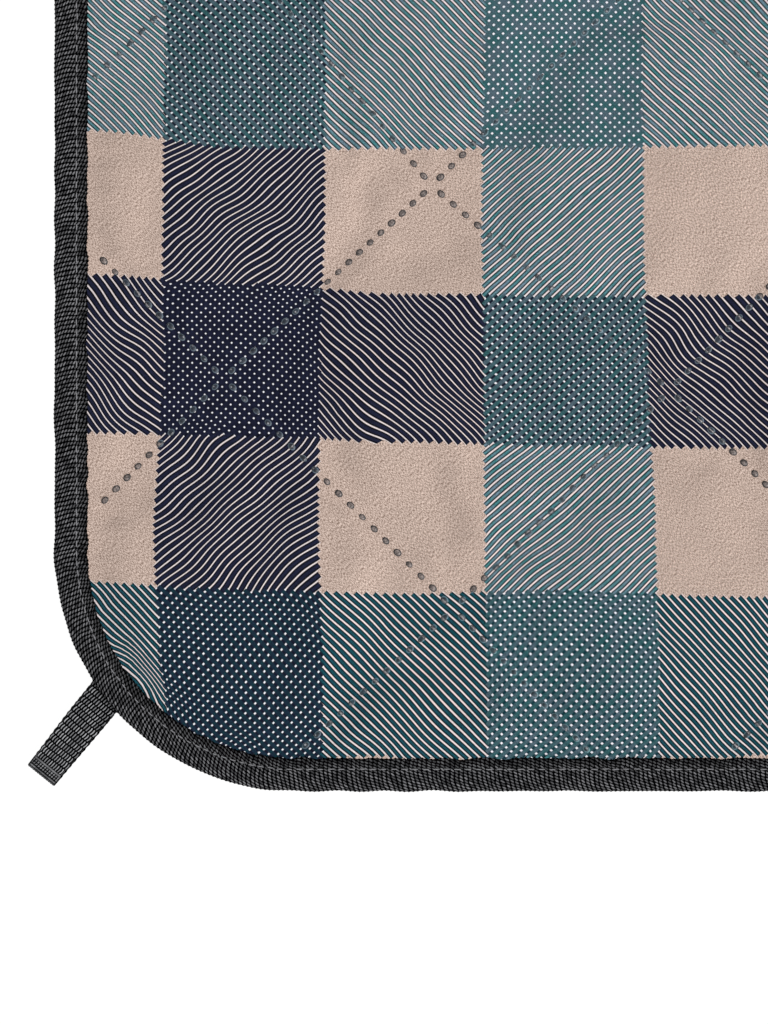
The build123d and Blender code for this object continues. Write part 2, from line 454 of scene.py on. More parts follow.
def binding_tape():
    """Black ribbed tape. Each slanted rib is a row of grey strands, narrower and darker inside the seam.
    Painted shade darkens the tape where it turns down round the fold, and a painted shadow line runs along
    its inner edge.
    """
    g = Shader("binding_tape")
    s, v, inner = g.attribute("weave")
    place = g.vector(s, v)
    wander = g.mul(g.sub(g.noise(place, 6 * MM), 0.5), 1.3 * MM)
    slope = g.mul_add(inner, -0.028 / MM, 0.48)
    slanted = g.add(g.mul_add(inner, slope, s), wander)
    row = g.div(slanted, RIB)
    in_row = g.centred(row)
    parity = g.mod(g.floor(row), 2.0)
    lean = g.mul_add(in_row, 0.8, g.mul(parity, 0.5))
    column = g.add(g.div(v, STRAND), lean)
    in_column = g.centred(column)
    chance = g.cell_chance(row, column)
    within = g.ramp(inner, 6.9 * MM, 7.6 * MM)
    along = g.mul(g.math("POWER", in_row, 2.0), g.ramp(within, 0, 1, 3.9, 2.8))
    across = g.mul(g.math("POWER", in_column, 2.0), g.ramp(within, 0, 1, 4.2, 5.0))
    bead = g.sub(1.0, g.add(along, across))
    shape = g.ramp(bead, 0.3, 0.85, smooth=True)
    fibre = g.ramp(g.noise(place, 0.25 * MM, 3.0), 0.3, 0.7, 0.7, 1.3)
    grey = g.mix(chance, srgb(68, 68, 70), srgb(134, 134, 137))
    colour = g.mix(shape, srgb(1, 1, 2), g.shade(grey, fibre))
    # darker inside the seam, painted shade where the tape turns down round the fold, and a painted shadow
    # line along the inner edge where the tape meets the cover
    for start, end, before, after in ((7, 11, 1.0, 0.5), (0.3, 1.3, 0.1, 1.0), (11.2, 11.9, 1.0, 0.2)):
        colour = g.shade(colour, g.ramp(inner, start * MM, end * MM, before, after, smooth=True))
    g.bump(shape, 0.12 * MM, 0.7)
    return g.finish(colour, g.ramp(shape, 0, 1, 0.95, 0.7), 0.0)


def thread_material():
    """Twisted grey polyester thread, with painted highlights on the crowns of its twist and painted shade in
    its grooves.
    """
    g = Shader("thread")
    s, v, _ = g.attribute("weave")
    twist = g.fract(g.div(g.mul_add(v, 0.8, s), 0.45 * MM))
    fold = g.abs(g.sub(twist, 0.5))
    # painted highlight on each crown of the twist and painted shade in its grooves
    colour = g.mix(g.ramp(fold, 0.0, 0.5), srgb(160, 160, 163), srgb(104, 104, 108))
    return g.finish(colour, g.ramp(fold, 0.0, 0.5, 0.45, 0.7))


def wadding_fibre():
    """White polyester fibre."""
    g = Shader("wadding_fibre")
    x, y, _ = g.attribute("flat")
    fibre = g.noise(g.vector(g.mul(x, 0.25), y), 1.2 * MM, 6.0)
    return g.finish(g.mix(g.ramp(fibre, 0.3, 0.7), srgb(216, 216, 212), srgb(246, 246, 243)), 0.95)


def webbing():
    """Black webbing with bands of pale dashes, which get short where it turns over at the loop's end. Pale
    lines across that end are painted highlights along the creases of the turn.
    """
    g = Shader("webbing")
    s, v, from_end = g.attribute("weave")
    place = g.vector(s, v)
    face = g.above(from_end, 0.0)
    bow = g.mul(g.sub(g.noise(place, 9 * MM, 1.0), 0.5), 0.8 * MM)
    band = g.div(g.add(s, bow), DASH_BAND)
    parity = g.mod(g.floor(band), 2.0)
    in_band = g.centred(band)
    lean = g.mul_add(in_band, -0.25, g.mul(parity, 0.5))
    column = g.add(g.mul_add(v, 1 / DASH_COLUMN, WEBBING_COLUMNS), lean)
    along = g.abs(in_band)
    across = g.abs(g.centred(column))
    dash = g.mul(g.ramp(along, 0.46, 0.33, smooth=True), g.ramp(across, 0.25, 0.07, smooth=True))
    dash = g.mul(dash, g.ramp(from_end, 5.0 * MM, 5.3 * MM))
    short = g.centred(g.div(from_end, 0.85 * MM))
    short = g.mul(g.ramp(g.abs(short), 0.42, 0.2), g.ramp(across, 0.36, 0.1))
    short = g.mul(short, g.ramp(from_end, 2.4 * MM, 2.5 * MM, 0.0, 0.75))
    short = g.mul(short, g.ramp(from_end, 4.1 * MM, 4.2 * MM, 1.0, 0.0))
    dashes_and_highlights = g.max(dash, short)
    # pale lines across the loop's end: painted highlights along the creases of the turn
    for line in (4.6, 1.9, 0.8):
        off_line = g.abs(g.sub(from_end, line * MM))
        dashes_and_highlights = g.max(dashes_and_highlights, g.ramp(off_line, 0.1 * MM, 0.42 * MM, 0.5, 0.0, smooth=True))
    dashes_and_highlights = g.mul(dashes_and_highlights, face)
    fibre = g.noise(g.vector(g.mul(s, 0.25), v), 0.16 * MM, 3.0)
    chance = g.cell_chance(band, column)
    pale = g.mix(chance, srgb(124, 125, 128), srgb(190, 191, 194))
    colour = g.mix(dashes_and_highlights, srgb(3, 3, 4), g.shade(pale, g.ramp(fibre, 0.3, 0.7, 0.75, 1.2)))
    g.bump(fibre, 0.04 * MM, 0.6)
    return g.finish(colour, g.ramp(dashes_and_highlights, 0, 1, 0.9, 0.6), 0.0)


# ---------------------------------------------------------------- meshes
def piece_from(name, points, faces, material, normals, attributes, slots=None):
    """A mesh object from arrays. faces is a list of arrays, each with rows of one length."""
    mesh = bpy.data.meshes.new(name)
    mesh.vertices.add(len(points))
    mesh.vertices.foreach_set("co", points.astype(np.float32).ravel())
    corners = np.concatenate([part.ravel() for part in faces]).astype(np.int32)
    sizes = np.concatenate([np.full(len(part), part.shape[1]) for part in faces])
    mesh.loops.add(len(corners))
    mesh.loops.foreach_set("vertex_index", corners)
    mesh.polygons.add(len(sizes))
    starts = np.concatenate([[0], np.cumsum(sizes)[:-1]]).astype(np.int32)
    mesh.polygons.foreach_set("loop_start", starts)
    mesh.polygons.foreach_set("use_smooth", np.ones(len(sizes), bool))
    mesh.update(calc_edges=True)
    for one in material:
        mesh.materials.append(one)
    if slots is not None:
        mesh.polygons.foreach_set("material_index", slots.astype(np.int32))
    for key, values in attributes.items():
        made = mesh.attributes.new(key, "FLOAT_VECTOR", "POINT")
        made.data.foreach_set("vector", values.astype(np.float32).ravel())
    mesh.normals_split_custom_set_from_vertices(normals.astype(np.float32))
    return linked(name, mesh)


def unit(vectors):
    return vectors / np.linalg.norm(vectors, axis=-1, keepdims=True)


def travel_along(line):
    """Distance along a line of points, at each point."""
    return np.concatenate([[0], np.cumsum(np.linalg.norm(np.diff(line, axis=0), axis=1))])


def surface_normals(points, closed=False):
    """Unit normals of a grid of points. closed joins the first axis end to end."""
    if closed:
        along = np.roll(points, -1, 0) - np.roll(points, 1, 0)
    else:
        along = np.gradient(points, axis=0)
    return unit(np.cross(along, np.gradient(points, axis=1)))


def smoothstep(value):
    value = np.clip(value, 0, 1)
    return value * value * (3 - 2 * value)


def wavy(place, period, count, lowest, highest):
    """A smooth irregular wave about 0 that repeats after the period, from a few random sines."""
    total = np.zeros_like(place)
    for _ in range(count):
        turns = random.integers(int(period / highest), int(period / lowest))
        total += np.sin(2 * pi * turns * place / period + random.uniform(0, 2 * pi))
    return total / sqrt(count / 2)


def inset_of(x, y):
    """How far inside the blanket's outer edge a point is."""
    over_x = np.abs(x) - (HALF_WIDTH - CORNER_RADIUS)
    over_y = np.abs(y) - (HALF_LENGTH - CORNER_RADIUS)
    outside = np.hypot(np.maximum(over_x, 0), np.maximum(over_y, 0))
    inside = np.minimum(np.maximum(over_x, over_y), 0)
    return CORNER_RADIUS - outside - inside


def go_with(piece, low_y, high_y):
    """Rides a piece that lies between those Y on its half, or, if it crosses the fold, bakes its placement
    into its mesh.
    """
    if low_y < FOLD_BEND and high_y > -FOLD_BEND:
        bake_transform(piece)
    else:
        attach(piece, "foot_half" if high_y <= 0 else "head_half")


# ---------------------------------------------------------------- the quilt's grid
def grid_steps():
    """Distances of a diamond's grid lines from its side. The odd ones run through weld spots."""
    spots = FIRST_SPOT + SPOT_PITCH * (np.arange(1, CELLS) - 1) / 2
    return np.concatenate([[0.0], spots, [QUILT]])


def swollen_diamonds(count=5):
    """Cloth held on its weld lines and blown up from below: what each diamond's grid points move by."""
    steps = grid_steps()
    line = np.concatenate([k * QUILT + steps[:-1] for k in range(count)] + [[count * QUILT]])
    size = len(line)
    u, v = np.meshgrid(line, line, indexing="ij")
    index = np.arange(size * size).reshape(size, size)
    on_line = np.arange(size) % CELLS == 0
    held = on_line[:, None] | on_line[None, :]
    start = np.zeros((size, size))
    for _ in range(40):
        length = random.uniform(12, 50) * MM
        angle = random.uniform(0, 2 * pi)
        start += np.sin(2 * pi * (u * cos(angle) + v * sin(angle)) / length + random.uniform(0, 2 * pi))
    start *= 0.1 * MM * ~held
    points = np.stack([u, v, start], -1).reshape(-1, 3)
    moved = simulate(points, quads_of(index), index[held]).reshape(size, size, 3)
    moved = moved - np.stack([u, v, 0 * u], -1)
    blocks = []
    for a in range(count):
        for b in range(count):
            blocks.append(moved[a * CELLS:(a + 1) * CELLS + 1, b * CELLS:(b + 1) * CELLS + 1])
    return blocks


def quads_of(index):
    """The quads of a grid of vertex numbers, facing up where the axes are X and Y."""
    corners = [index[:-1, :-1], index[1:, :-1], index[1:, 1:], index[:-1, 1:]]
    return np.stack(corners, -1).reshape(-1, 4)


def tube_quads(rings, around):
    """The quads of rings of points joined into a tube."""
    index = np.arange(rings * around).reshape(rings, around)
    return quads_of(np.concatenate([index, index[:, :1]], 1))


# the cloth that swells between its weld lines
CLOTH = {
    "quality": 5, "mass": 0.1, "tension_stiffness": 15, "compression_stiffness": 15, "shear_stiffness": 5,
    "bending_stiffness": 0.5, "tension_damping": 5, "compression_damping": 5, "shear_damping": 5,
    "bending_damping": 0.5, "air_damping": 1, "shrink_min": -0.009, "use_pressure": True,
    "uniform_pressure_force": 1, "vertex_group_mass": "held"}


def simulate(points, quads, pinned):
    """Runs the Cloth modifier on a scratch mesh and returns where its points end up."""
    mesh = bpy.data.meshes.new("trial")
    mesh.from_pydata(points.tolist(), [], quads.tolist())
    trial = linked("trial", mesh)
    trial.vertex_groups.new(name="held").add(pinned.tolist(), 1.0, "ADD")
    cloth = trial.modifiers.new("cloth", "CLOTH")
    settings = cloth.settings
    for key, value in CLOTH.items():
        setattr(settings, key, value)
    settings.effector_weights.gravity = 0
    cloth.collision_settings.use_collision = False
    cloth.collision_settings.use_self_collision = False
    frames = 20
    cloth.point_cache.frame_end = frames + 1
    for number in range(1, frames + 1):
        bpy.context.scene.frame_set(number)
    result = trial.evaluated_get(bpy.context.evaluated_depsgraph_get()).data
    moved = np.empty(len(points) * 3, np.float32)
    result.vertices.foreach_get("co", moved)
    bpy.data.objects.remove(trial)
    bpy.data.meshes.remove(mesh)
    bpy.context.scene.frame_set(1)
    return moved.reshape(-1, 3).astype(float)


# how far some crossings of the weld lines stray to the right and up, in millimetres
STRAY_CROSSINGS = {(0, 0): (-4.1, -6.1), (0, -1): (-1.2, 1.9), (1, -1): (3.0, -2.6), (1, 0): (2.7, -1.9),
                   (0, 1): (-4.0, -6.0), (1, 1): (-3.0, -5.0)}


class Quilt:
    """The whole blanket's grid: flat places, and the shape of one face's swelling."""

    first_i, last_i = -13, 10       # diamonds along the grid's two directions
    first_j, last_j = -3, 20

    def __init__(self, blocks):
        steps = grid_steps()[:-1]
        lines_i = [k * QUILT + steps for k in range(self.first_i, self.last_i)]
        lines_j = [k * QUILT + steps for k in range(self.first_j, self.last_j)]
        i = np.concatenate(lines_i + [[self.last_i * QUILT]])
        j = np.concatenate(lines_j + [[self.last_j * QUILT]])
        i, j = np.meshgrid(i, j, indexing="ij")
        self.to_weld = np.minimum(*[np.abs((line + QUILT / 2) % QUILT - QUILT / 2) for line in (i, j)])
        stray_x, stray_y = self.stray_crossings(i / QUILT - self.first_i, j / QUILT - self.first_j)
        self.x = CROSSING_X - HALF_WIDTH + (i + j) / sqrt(2) + stray_x
        self.y = CROSSING_Y - HALF_LENGTH + (j - i) / sqrt(2) + stray_y
        self.inset = inset_of(self.x, self.y)
        self.at_fold = 1 - smoothstep(np.abs(self.y) / FOLD_BEND - 1)
        self.blocks = blocks

    def stray_crossings(self, i, j):
        """How far each point moves because the weld lines' crossings aren't quite regular."""
        strays = random.normal(0, 1.1, (2, self.last_j - self.first_j + 2, self.last_i - self.first_i + 2))
        for (a, b), stray in STRAY_CROSSINGS.items():
            strays[:, b - self.first_j, a - self.first_i] = stray
        column, row = np.floor(i).astype(int), np.floor(j).astype(int)
        right, up = i - column, j - row
        low = strays[:, row, column] * (1 - right) + strays[:, row, column + 1] * right
        high = strays[:, row + 1, column] * (1 - right) + strays[:, row + 1, column + 1] * right
        return (low * (1 - up) + high * up) * MM

    def swelling(self):
        """A random choice of simulated diamonds, turned and mirrored, over the whole grid."""
        moves = np.zeros(self.x.shape + (3,))
        for a in range(self.last_i - self.first_i):
            for b in range(self.last_j - self.first_j):
                block = self.blocks[random.integers(len(self.blocks))]
                for _ in range(random.integers(4)):
                    turned = np.rot90(block, -1)
                    block = np.stack([turned[..., 1], -turned[..., 0], turned[..., 2]], -1)
                if random.integers(2):
                    block = block.transpose(1, 0, 2)[..., [1, 0, 2]]
                moves[a * CELLS:(a + 1) * CELLS + 1, b * CELLS:(b + 1) * CELLS + 1] = block
        return moves

    def between_spots(self):
        """1 on a weld line midway between two spots or on a crossing, and 0 elsewhere."""
        even_i = np.arange(self.x.shape[0]) % 2 == 0
        even_j = np.arange(self.x.shape[1]) % 2 == 0
        line_i = np.arange(self.x.shape[0]) % CELLS == 0
        line_j = np.arange(self.x.shape[1]) % CELLS == 0
        on_line = (line_i[:, None] & even_j[None, :]) | (line_j[None, :] & even_i[:, None])
        return on_line.astype(float)

    def face(self, weld_height, edge_height, swell, sign):
        """Points of a cover. sign is 1 for the top, -1 for the back."""
        moves = self.swelling()
        fade = smoothstep((self.inset - SWELL_START) / (SWELL_FULL - SWELL_START))
        sloped = smoothstep((self.inset - SLOPE_START) / SLOPE)
        flat_height = edge_height + (weld_height - edge_height) * sloped
        s = edge_travel(self.x, self.y)
        free = smoothstep(self.to_weld / WELD_FREE)
        roll_share = 0.55 + 0.3 * wavy(s, 4 * QUARTER, 12, 50 * MM, 140 * MM)
        roll = EDGE_ROLL * np.clip(roll_share, 0, 1.2) * bell((self.inset - 11 * MM) / (21 * MM)) * free
        puckers = wavy(s, 4 * QUARTER, 16, 7 * MM, 16 * MM)
        gather = GATHER * puckers * bell((self.inset - 9.5 * MM) / (15 * MM))
        blown = np.maximum(moves[..., 2], 0) * fade + roll * swell / TOP_SWELL
        rise = swell * np.tanh(blown / swell) + SPOT_RIPPLE * self.between_spots() * fade
        height = flat_height + sign * (rise + gather * swell / TOP_SWELL)
        apart = FOLD_APART * self.at_fold * sloped
        height = MID_HEIGHT + sign * np.maximum(sign * (height - MID_HEIGHT), apart)
        across = moves[..., 0] * fade
        along = moves[..., 1] * fade
        x = self.x + (across + along) / sqrt(2)
        y = self.y + (along - across) / sqrt(2)
        return np.stack([x, y, np.maximum(height, FLOOR_GAP)], -1)


def bell(value):
    """A smooth hump from 0 at 0 to 1 at a half and back to 0 at 1."""
    return np.sin(pi * np.clip(value, 0, 1)) ** 2


def smooth_map(values, x, y):
    """A table's value at x and y, counted in its columns and rows, with soft steps between entries."""
    rows, columns = values.shape
    x = np.clip(x, 0, columns - 1.001)
    y = np.clip(y, 0, rows - 1.001)
    column, row = np.floor(x).astype(int), np.floor(y).astype(int)
    right, up = smoothstep(x - column), smoothstep(y - row)
    lower = values[row, column] * (1 - right) + values[row, column + 1] * right
    upper = values[row + 1, column] * (1 - right) + values[row + 1, column + 1] * right
    return lower * (1 - up) + upper * up


# how far the print was pulled as the cloth was bound, in millimetres, for the squares at the foot end's
# left corner: upwards at each row border, and to the right at each column border, from the foot end up
PULLED_UP = [(0, -3, -2.4, -2.4, -2), (5.7, 3.2, 1.8, 3, 1), (4.8, 4, 1.8, 0.5, 0), (7, 4.3, 0.2, 0, 0),
             (4.5, -1.6, -1.6, -1.5, -1)]
PULLED_RIGHT = [(0, 0, 1, 5), (-0.3, 0, 1, 5), (-1.9, -1.3, 0.5, 3.4), (0.6, -0.5, 0, 1.2),
                (0.8, 0.5, -0.5, -0.5), (1.3, 0.9, 0, -0.5)]


def pull_table(corner, spread):
    """A pull for every square of the blanket: random, but as given at the foot end's left corner."""
    rows = int(2 * HALF_LENGTH / CHECK_Y) + 3
    columns = int(2 * HALF_WIDTH / CHECK_X) + 3
    table = random.normal(0, spread, (rows, columns))
    corner = np.array(corner)
    table[:corner.shape[0], :corner.shape[1]] = corner
    return table * MM


def print_place(tables, x, y):
    """Where a point of the cover lies on the print, from the left foot corner."""
    up, right = tables
    from_left = HALF_WIDTH + x
    from_foot = HALF_LENGTH + y
    column = (from_left - PRINT_X) / CHECK_X
    row = (from_foot - PRINT_Y) / CHECK_Y
    shift_x = smooth_map(right, column, row + 0.5)
    shift_y = smooth_map(up, column + 0.5, row)
    return from_left - shift_x, from_foot - shift_y


def gathered_by_binding(x, y):
    """How far the print is pushed out towards the edge, in X and Y, where the binding gathers the cloth."""
    s = edge_travel(x, y)
    _, inward = edge_place(s)
    corner = 4 * QUARTER - STRAIGHT_X - ARC * 0.55
    most = 0.9 * MM * np.clip(wavy(s, 4 * QUARTER, 12, 25 * MM, 90 * MM), 0, 1.5)
    most += CORNER_GATHER * bell((s - corner) / (44 * MM) + 0.5)
    near = smoothstep((21 * MM - inset_of(x, y)) / (9 * MM))
    return -inward[..., 0] * most * near, -inward[..., 1] * most * near


def bounds_of(columns, rows, column, row):
    """The plan rectangle of one panel: low x, high x, low y, high y."""
    width = 2 * HALF_WIDTH / columns
    length = 2 * HALF_LENGTH / rows
    low_x = column * width - HALF_WIDTH
    low_y = row * length - HALF_LENGTH
    return low_x, low_x + width, low_y, low_y + length


def panel_quads(quilt_x, quilt_y, inset, area):
    """Grid quads whose middle lies in the area and whose corners are all on the cloth."""
    low_x, high_x, low_y, high_y = area
    mid_x = (quilt_x[:-1, :-1] + quilt_x[1:, 1:]) / 2
    mid_y = (quilt_y[:-1, :-1] + quilt_y[1:, 1:]) / 2
    cloth = inset >= COVER_HIDDEN
    whole = cloth[:-1, :-1] & cloth[1:, :-1] & cloth[1:, 1:] & cloth[:-1, 1:]
    chosen = whole & (mid_x >= low_x) & (mid_x < high_x) & (mid_y >= low_y) & (mid_y < high_y)
    index = np.arange(quilt_x.size).reshape(quilt_x.shape)
    return quads_of(index)[chosen.ravel()]


def renumbered(faces, *arrays):
    """Drops the points that no face uses."""
    used, new = np.unique(faces, return_inverse=True)
    return [new.reshape(faces.shape)] + [array.reshape(-1, array.shape[-1])[used] for array in arrays]


def weld_spots(quilt, points, lift, sign, rings):
    """Dished ovals on every second point of the weld lines.

    rings are (radius share, height) from the rim to the last ring round the middle point."""
    size_i, size_j = quilt.x.shape
    spot_i, spot_j = np.meshgrid(np.arange(size_i), np.arange(size_j), indexing="ij")
    on_i = (spot_i % CELLS == 0) & (spot_j % 2 == 1)
    on_j = (spot_j % CELLS == 0) & (spot_i % 2 == 1)
    clear = quilt.inset > SPOT_CLEARANCE
    centres = []
    turns = []
    for chosen, turn in ((on_i & clear, radians(45)), (on_j & clear, radians(-45))):
        centres.append(points[chosen])
        turns.append(np.full(chosen.sum(), turn))
    centres = np.concatenate(centres)
    turns = np.concatenate(turns) + random.normal(0, radians(4), len(centres))
    scale = random.uniform(0.9, 1.08, (len(centres), 1))
    chance = random.uniform(0, 1, len(centres))
    around = 10
    angles = np.arange(around) * 2 * pi / around
    half_length, half_width = SPOT_LENGTH / 2, SPOT_WIDTH / 2
    shape = [(share * half_length * cos(angle), share * half_width * sin(angle), height, share)
             for share, height in rings for angle in angles]
    shape = np.array(shape + [(0.0, 0.0, rings[-1][1], 0.0)])
    across = shape[None, :, 0] * scale
    along = shape[None, :, 1] * scale
    x = centres[:, None, 0] + across * np.cos(turns)[:, None] - along * np.sin(turns)[:, None]
    y = centres[:, None, 1] + across * np.sin(turns)[:, None] + along * np.cos(turns)[:, None]
    z = centres[:, None, 2] + sign * (lift + shape[None, :, 2] + 0 * x)
    radius = np.broadcast_to(shape[None, :, 3], x.shape)
    spot = np.stack([radius, np.broadcast_to(chance[:, None], x.shape), 0 * x], -1)
    quads = np.roll(tube_quads(len(rings), around)[:, ::-1], 1, 1)
    last = (len(rings) - 1) * around
    fan = np.array([(last + k, last + (k + 1) % around, last + around) for k in range(around)])
    if sign < 0:
        quads, fan = quads[:, ::-1], fan[:, ::-1]
    return centres, np.stack([x, y, z], -1), spot, quads, fan


def spot_normals(points, centres, sign):
    """Rounded normals that lean out from each spot's middle."""
    lean = points - centres[:, None, :]
    lean[..., 2] = sign * 1.6 * MM
    return unit(lean)


def cover_panels(name, quilt, points, columns, rows, materials, spots, sign, replaced, pulls):
    """A cover as joined panels of one sheet, each with the weld spots that lie on it."""
    normals = surface_normals(points) * sign
    print_x, print_y = print_place(pulls, quilt.x, quilt.y)
    gather_x, gather_y = gathered_by_binding(quilt.x, quilt.y)
    flat = np.stack([print_x + gather_x, print_y + gather_y, 0 * print_x], -1)
    centres, spot_points, spot, spot_quads, spot_fan = spots
    spot_shape = spot_normals(spot_points, centres, sign)
    spot_x, spot_y = print_place(pulls, spot_points[..., 0], spot_points[..., 1])
    spot_flat = np.stack([spot_x, spot_y, 0 * spot_x], -1)
    panels = []
    for row in range(rows):
        for column in range(columns):
            area = bounds_of(columns, rows, column, row)
            quads = panel_quads(quilt.x, quilt.y, quilt.inset, area)
            if sign < 0:
                quads = quads[:, ::-1]
            quads, cloth_points, cloth_normals, cloth_flat = renumbered(quads, points, normals, flat)
            mine = (centres[:, 0] >= area[0]) & (centres[:, 0] < area[1])
            mine &= (centres[:, 1] >= area[2]) & (centres[:, 1] < area[3])
            count = mine.sum()
            per_spot = spot_points.shape[1]
            first = len(cloth_points) + per_spot * np.arange(count)[:, None, None]
            oval_quads = (first + spot_quads[None]).reshape(-1, 4)
            oval_fan = (first + spot_fan[None]).reshape(-1, 3)
            all_points = np.concatenate([cloth_points, spot_points[mine].reshape(-1, 3)])
            all_normals = np.concatenate([cloth_normals, spot_shape[mine].reshape(-1, 3)])
            all_flat = np.concatenate([cloth_flat, spot_flat[mine].reshape(-1, 3)])
            all_spot = np.concatenate([np.zeros_like(cloth_points), spot[mine].reshape(-1, 3)])
            slots = np.concatenate([np.zeros(len(quads)), np.ones(len(oval_quads) + len(oval_fan))])
            panel = piece_from(
                f"{name}_{row + 1}_{column + 1}", all_points, [quads, oval_quads, oval_fan], materials,
                all_normals, {"flat": all_flat, "spot": all_spot}, slots)
            go_with(panel, area[2], area[3])
            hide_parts(*replaced)
            cut = (area[1] - area[0] + 4 * MM, area[3] - area[2] + 4 * MM)
            below = f"wadding_{1 + row * WADDING_ROWS // rows}_{1 + column * WADDING_COLUMNS // columns}"
            panels.append((panel, cut, below))
    return panels


def lowest_nearby(height, reach, sign):
    """The least of a height over its neighbours, or the greatest for sign -1."""
    result = sign * height
    for di in range(-reach, reach + 1):
        for dj in range(-reach, reach + 1):
            result = np.minimum(result, sign * np.roll(height, (di, dj), (0, 1)))
    return sign * result


def wadding_slabs(quilt, top, back, material):
    """Closed slabs that fill the space between the covers."""
    gap = (WADDING_GAP + FOLD_GAP * quilt.at_fold)[::2, ::2]
    upper = lowest_nearby(top[..., 2], 2, 1)[::2, ::2] - gap
    lower = lowest_nearby(back[..., 2], 2, -1)[::2, ::2] + gap
    middle = (WELD_TOP + WELD_BACK) / 2
    upper = np.maximum(upper, middle + WADDING_LEAST)
    lower = np.minimum(lower, middle - WADDING_LEAST)
    x, y, inset = quilt.x[::2, ::2], quilt.y[::2, ::2], quilt.inset[::2, ::2]
    high = np.stack([x, y, upper], -1)
    low = np.stack([x, y, lower], -1)
    flat = np.stack([x, y, 0 * x], -1)
    high_normals = surface_normals(high)
    low_normals = -surface_normals(low)
    for row in range(WADDING_ROWS):
        for column in range(WADDING_COLUMNS):
            area = bounds_of(WADDING_COLUMNS, WADDING_ROWS, column, row)
            quads = panel_quads(x, y, inset, area)
            quads, top_points, bottom_points, top_normals, bottom_normals, place = renumbered(
                quads, high, low, high_normals, low_normals, flat)
            count = len(top_points)
            edges = np.concatenate([quads[:, [k, (k + 1) % 4]] for k in range(4)])
            keys = edges[:, 0] * count + edges[:, 1]
            rim = edges[~np.isin(keys, edges[:, 1] * count + edges[:, 0])]
            walls = np.stack([rim[:, 1], rim[:, 0], rim[:, 0] + count, rim[:, 1] + count], -1)
            slab = piece_from(
                f"wadding_{row + 1}_{column + 1}", np.concatenate([top_points, bottom_points]),
                [quads, quads[:, ::-1] + count, walls], [material],
                np.concatenate([top_normals, bottom_normals]), {"flat": np.concatenate([place, place])})
            go_with(slab, area[2], area[3])
            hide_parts("wadding_foot", "wadding_head")


# ---------------------------------------------------------------- the edge
STRAIGHT_X = HALF_WIDTH - CORNER_RADIUS
STRAIGHT_Y = HALF_LENGTH - CORNER_RADIUS
ARC = CORNER_RADIUS * pi / 2
QUARTER = STRAIGHT_X + ARC + STRAIGHT_Y


def edge_place(s):
    """Points on the outer edge and the inward directions there, s from the middle of the foot end,
    counterclockwise seen from above."""
    quarter = np.floor(s / QUARTER).astype(int) % 4
    t = s - np.floor(s / QUARTER) * QUARTER
    t = np.where(quarter % 2 == 1, QUARTER - t, t)
    angle = np.clip((t - STRAIGHT_X) / CORNER_RADIUS, 0, pi / 2)
    x = np.minimum(t, STRAIGHT_X) + CORNER_RADIUS * np.sin(angle)
    y = -STRAIGHT_Y - CORNER_RADIUS * np.cos(angle) + np.maximum(t - STRAIGHT_X - ARC, 0)
    side_x = np.where(quarter >= 2, -1, 1)
    side_y = np.where((quarter == 1) | (quarter == 2), -1, 1)
    place = np.stack([x * side_x, y * side_y], -1)
    inward = np.stack([-np.sin(angle) * side_x, np.cos(angle) * side_y], -1)
    return place, inward


def edge_travel(x, y):
    """The s of edge_place for the outer edge's point nearest to each given point."""
    over_x, over_y = np.abs(x) - STRAIGHT_X, np.abs(y) - STRAIGHT_Y
    round_part = STRAIGHT_X + CORNER_RADIUS * np.arctan2(np.maximum(over_x, 0), np.maximum(over_y, 1e-9))
    on_side = (over_y <= 0) & (over_x > over_y)
    t = np.where(on_side, QUARTER - np.abs(y), np.where(over_x < 0, np.abs(x), round_part))
    quarter = np.where(x >= 0, np.where(y < 0, 0, 1), np.where(y >= 0, 2, 3))
    return np.where(quarter % 2 == 0, quarter * QUARTER + t, (quarter + 1) * QUARTER - t)


# the edge's six pieces: where each starts and ends, and a panel of the top cover that it lies on
EDGE_PIECES = (
    ("foot_right", 0.0, QUARTER - SIDE_PIECE, "top_cover_1_3"),
    ("right_side", QUARTER - SIDE_PIECE, QUARTER + SIDE_PIECE, "top_cover_2_3"),
    ("head_right", QUARTER + SIDE_PIECE, 2 * QUARTER, "top_cover_4_3"),
    ("head_left", 2 * QUARTER, 3 * QUARTER - SIDE_PIECE, "top_cover_4_1"),
    ("left_side", 3 * QUARTER - SIDE_PIECE, 3 * QUARTER + SIDE_PIECE, "top_cover_2_1"),
    ("foot_left", 3 * QUARTER + SIDE_PIECE, 4 * QUARTER, "top_cover_1_1"),
)


def side_range(name):
    """The Y that a piece of the edge lies between."""
    if name.endswith("side"):
        return -SIDE_PIECE, SIDE_PIECE
    if name.startswith("foot"):
        return -HALF_LENGTH, -SIDE_PIECE
    return SIDE_PIECE, HALF_LENGTH


# inset and height above the middle, for half of the folded tape, in millimetres
TAPE_PROFILE = [
    (0.0, 0.0), (0.06, 0.5), (0.3, 1.0), (0.9, 1.42), (2.4, 1.62), (4.4, 1.66), (6.0, 1.55), (6.9, 1.4),
    (7.4, 1.25), (7.9, 1.34), (8.8, 1.42), (9.8, 1.3), (10.6, 1.05), (11.0, 0.75), (11.15, 0.3)]


def tape_section():
    """The whole profile from the top's inner edge to the bottom's, its outward directions, and
    distance along it from the fold."""
    half = np.array(TAPE_PROFILE) * MM
    below = half[1:] * (1, -1)
    section = np.concatenate([half[::-1], below])
    tangent = np.gradient(section, axis=0)
    outward = unit(np.stack([tangent[:, 1], -tangent[:, 0]], -1))
    travel = travel_along(section)
    return section, outward, travel[len(half) - 1] - travel


def edge_wander(s):
    """How far the outer edge strays inwards from its true line."""
    return 0.25 * MM + 0.12 * MM * wavy(s, 4 * QUARTER, 14, 14 * MM, 60 * MM)


